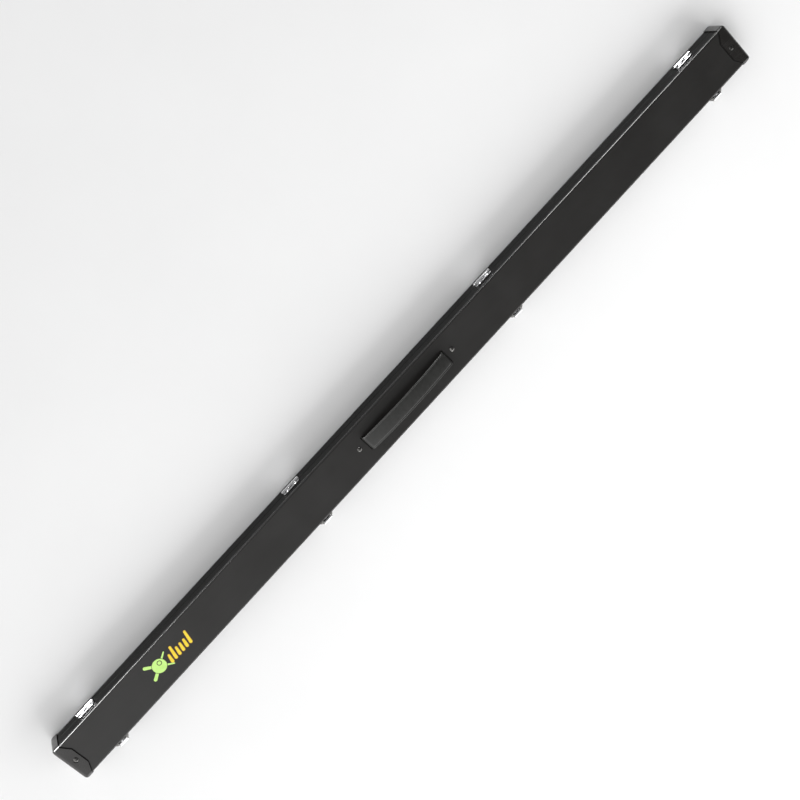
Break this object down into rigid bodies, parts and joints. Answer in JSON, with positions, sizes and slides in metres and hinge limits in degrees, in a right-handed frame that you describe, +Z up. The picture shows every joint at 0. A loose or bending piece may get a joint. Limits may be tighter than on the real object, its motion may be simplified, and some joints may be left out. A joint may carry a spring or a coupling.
{
  "type": "cue case",
  "caption": "Slim hard case for one full-length billiard cue, hinged along one long side and latched along the other, with moulded end caps and a strap handle.",
  "frame": {"origin": "on the flat underside of the base's end caps, midway along the case and midway between its outermost front and back points", "axes": "+X along the case, +Z up out of the lid's wide face through the handle, hinges on the +Y side and latches on the -Y side"},
  "size_m": [1.53, 0.086, 0.0637],
  "materials": {
    "panel_black": "satin black laminate, fine grain",
    "rail_black": "plywood rail skinned in satin black laminate",
    "board_black": "plywood, painted black",
    "cap_black": "moulded, glossy black",
    "rivet_black": "blackened steel, semi-gloss",
    "lining_black": "short-pile velvet over foam",
    "strap_black": "stitched leatherette over a webbing core",
    "chrome": "bright plated",
    "steel": "plain spring steel"
  },
  "bodies": {
    "base": {"base_panel": "panel_black", "base_front_rail": "rail_black", "base_back_rail": "rail_black", "base_left_end_board": "board_black", "base_left_cap": "cap_black", "base_left_cap_rivet": "rivet_black", "base_right_end_board": "board_black", "base_right_cap": "cap_black", "base_right_cap_rivet": "rivet_black", "base_lining": "lining_black", "hinge_leaf_base_1": "chrome", "hinge_pin_1": "chrome", "latch_strike_1": "chrome", "hinge_leaf_base_2": "chrome", "hinge_pin_2": "chrome", "latch_strike_2": "chrome", "hinge_leaf_base_3": "chrome", "hinge_pin_3": "chrome", "latch_strike_3": "chrome", "hinge_leaf_base_4": "chrome", "hinge_pin_4": "chrome", "latch_strike_4": "chrome"},
    "lid": {"lid_panel": "panel_black", "lid_front_rail": "rail_black", "lid_back_rail": "rail_black", "lid_left_end_board": "board_black", "lid_left_cap": "cap_black", "lid_left_cap_rivet": "rivet_black", "lid_right_end_board": "board_black", "lid_right_cap": "cap_black", "lid_right_cap_rivet": "rivet_black", "lid_butt_lining": "lining_black", "lid_shaft_lining": "lining_black", "handle_keeper_left": "steel", "handle_rivet_left": "rivet_black", "handle_keeper_right": "steel", "handle_rivet_right": "rivet_black", "hinge_leaf_lid_1": "chrome", "latch_plate_1": "rivet_black", "latch_pin_1": "chrome", "latch_spring_1": "steel", "hinge_leaf_lid_2": "chrome", "latch_plate_2": "rivet_black", "latch_pin_2": "chrome", "latch_spring_2": "steel", "hinge_leaf_lid_3": "chrome", "latch_plate_3": "rivet_black", "latch_pin_3": "chrome", "latch_spring_3": "steel", "hinge_leaf_lid_4": "chrome", "latch_plate_4": "rivet_black", "latch_pin_4": "chrome", "latch_spring_4": "steel"},
    "handle": {"handle_strap": "strap_black"},
    "latch_1": {"latch_lever_1": "chrome"},
    "latch_2": {"latch_lever_2": "chrome"},
    "latch_3": {"latch_lever_3": "chrome"},
    "latch_4": {"latch_lever_4": "chrome"}
  },
  "joints": [
    {"name": "lid_hinge", "type": "hinge", "parent": "base", "child": "lid", "pos_m": [0, 0.038, 0.0247], "axis": [-1, 0, 0], "range_deg": [0, 150]},
    {"name": "handle_lift", "type": "slide", "parent": "lid", "child": "handle", "axis": [0, 0, 1], "range_m": [0, 0.004]},
    {"name": "latch_1_swing", "type": "hinge", "parent": "lid", "child": "latch_1", "pos_m": [-0.686, -0.0412, 0.0382], "axis": [-1, 0, 0], "range_deg": [0, 110]},
    {"name": "latch_2_swing", "type": "hinge", "parent": "lid", "child": "latch_2", "pos_m": [-0.22, -0.0412, 0.0382], "axis": [-1, 0, 0], "range_deg": [0, 110]},
    {"name": "latch_3_swing", "type": "hinge", "parent": "lid", "child": "latch_3", "pos_m": [0.22, -0.0412, 0.0382], "axis": [-1, 0, 0], "range_deg": [0, 110]},
    {"name": "latch_4_swing", "type": "hinge", "parent": "lid", "child": "latch_4", "pos_m": [0.686, -0.0412, 0.0382], "axis": [-1, 0, 0], "range_deg": [0, 110]}
  ]
}
